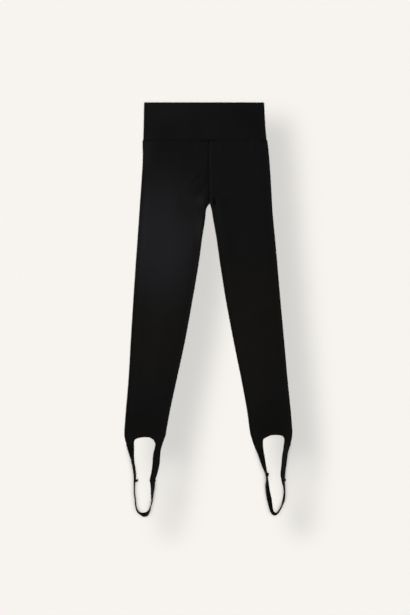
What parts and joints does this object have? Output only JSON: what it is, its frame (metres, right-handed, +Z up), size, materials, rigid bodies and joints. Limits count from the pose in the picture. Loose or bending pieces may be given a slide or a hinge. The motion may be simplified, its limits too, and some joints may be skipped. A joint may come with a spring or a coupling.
{
  "type": "stirrup leggings",
  "caption": "Black high-waisted stirrup leggings in matte stretch jersey, lying flat, with a deep doubled waistband and narrow foot straps below arched ankles.",
  "frame": {"origin": "on the surface that the leggings lie on, under the middle of their outline", "axes": "+Y along the leggings towards the waistband, +X to the right as they are looked down on, +Z up from the surface"},
  "size_m": [0.4366, 1.0753, 0.0154],
  "materials": {
    "jersey": "matte",
    "waistband": "matte",
    "strap": "matte",
    "thread": "matte"
  },
  "bodies": {
    "root": {"waistband_front": "waistband", "waistband_back": "waistband", "leg_left": "jersey", "leg_right": "jersey", "stirrup_left": "strap", "stirrup_right": "strap"}
  },
  "joints": []
}
